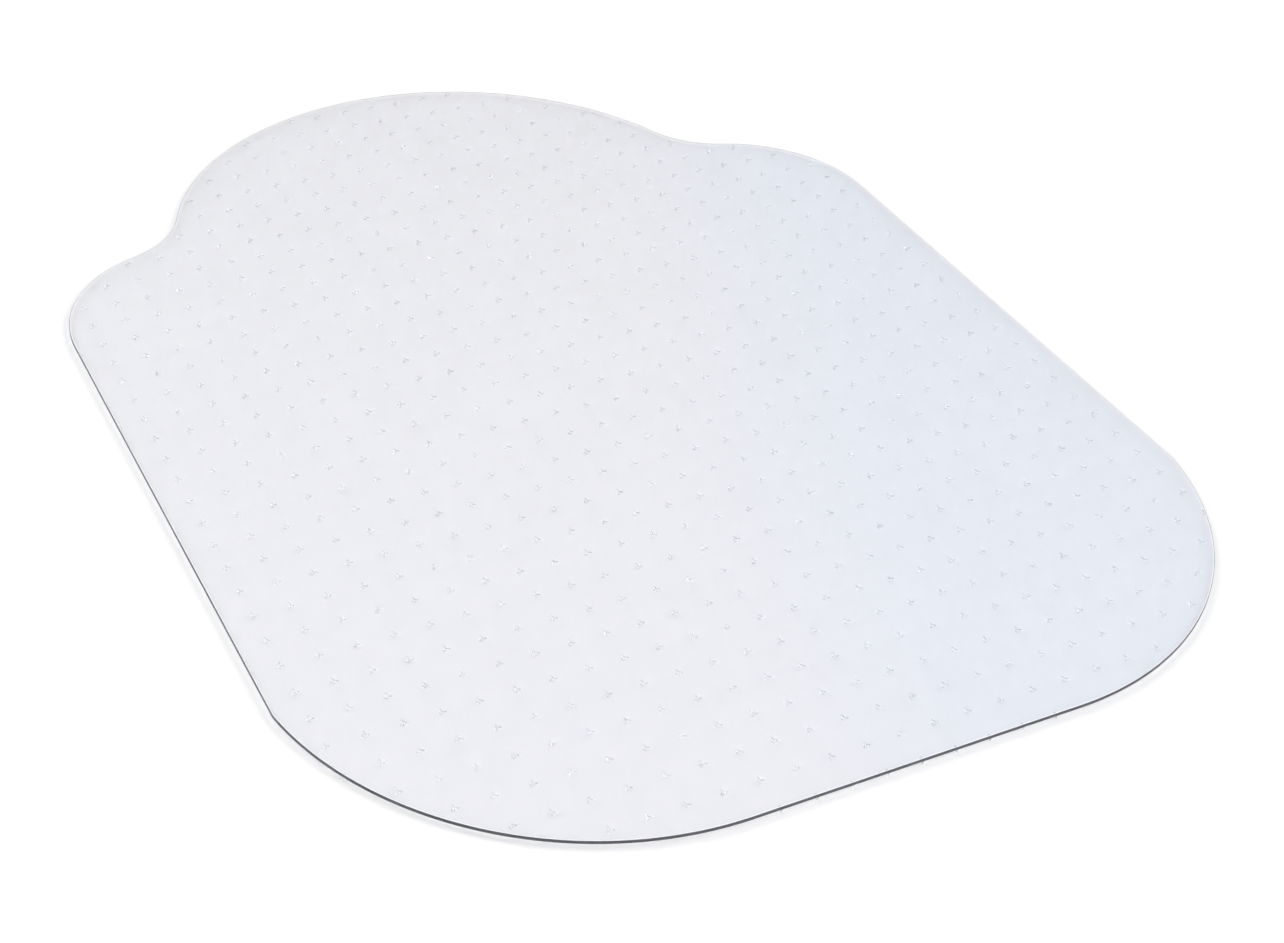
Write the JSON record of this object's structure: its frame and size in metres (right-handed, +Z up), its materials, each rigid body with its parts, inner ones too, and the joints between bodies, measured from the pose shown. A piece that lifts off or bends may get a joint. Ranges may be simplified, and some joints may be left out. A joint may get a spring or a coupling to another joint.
{
  "type": "chair mat",
  "caption": "Flat translucent vinyl chair mat with rounded rear corners and a rounded lip that reaches under a desk; tapered cleats in rows underneath grip the carpet.",
  "frame": {"origin": "on the floor under the middle of the mat: halfway across, halfway from the rear edge to the tip of the lip, at the level of the cleat tips", "axes": "+Z up, +Y along the mat towards the tip of the lip, +X across it to the right when looking towards the lip"},
  "size_m": [0.9144, 1.2192, 0.0058],
  "materials": {
    "frosted_vinyl": "clear flexible PVC, near white, with a fine frosted grain rolled into its top face",
    "cleated_vinyl": "the same clear flexible PVC, smooth from the roll on its underside and on the cleats"
  },
  "bodies": {
    "root": {"top_sheet": "frosted_vinyl", "cleat_row_00": "cleated_vinyl", "cleat_row_01": "cleated_vinyl", "cleat_row_02": "cleated_vinyl", "cleat_row_03": "cleated_vinyl", "cleat_row_04": "cleated_vinyl", "cleat_row_05": "cleated_vinyl", "cleat_row_06": "cleated_vinyl", "cleat_row_07": "cleated_vinyl", "cleat_row_08": "cleated_vinyl", "cleat_row_09": "cleated_vinyl", "cleat_row_10": "cleated_vinyl", "cleat_row_11": "cleated_vinyl", "cleat_row_12": "cleated_vinyl", "cleat_row_13": "cleated_vinyl", "cleat_row_14": "cleated_vinyl", "cleat_row_15": "cleated_vinyl", "cleat_row_16": "cleated_vinyl", "cleat_row_17": "cleated_vinyl", "cleat_row_18": "cleated_vinyl", "cleat_row_19": "cleated_vinyl", "cleat_row_20": "cleated_vinyl", "cleat_row_21": "cleated_vinyl", "cleat_row_22": "cleated_vinyl", "cleat_row_23": "cleated_vinyl", "cleat_row_24": "cleated_vinyl", "cleat_row_25": "cleated_vinyl", "cleat_row_26": "cleated_vinyl", "cleat_row_27": "cleated_vinyl", "cleat_row_28": "cleated_vinyl", "cleat_row_29": "cleated_vinyl", "cleat_row_30": "cleated_vinyl", "cleat_row_31": "cleated_vinyl", "cleat_row_32": "cleated_vinyl", "cleat_row_33": "cleated_vinyl", "cleat_row_34": "cleated_vinyl", "cleat_row_35": "cleated_vinyl"}
  },
  "joints": []
}
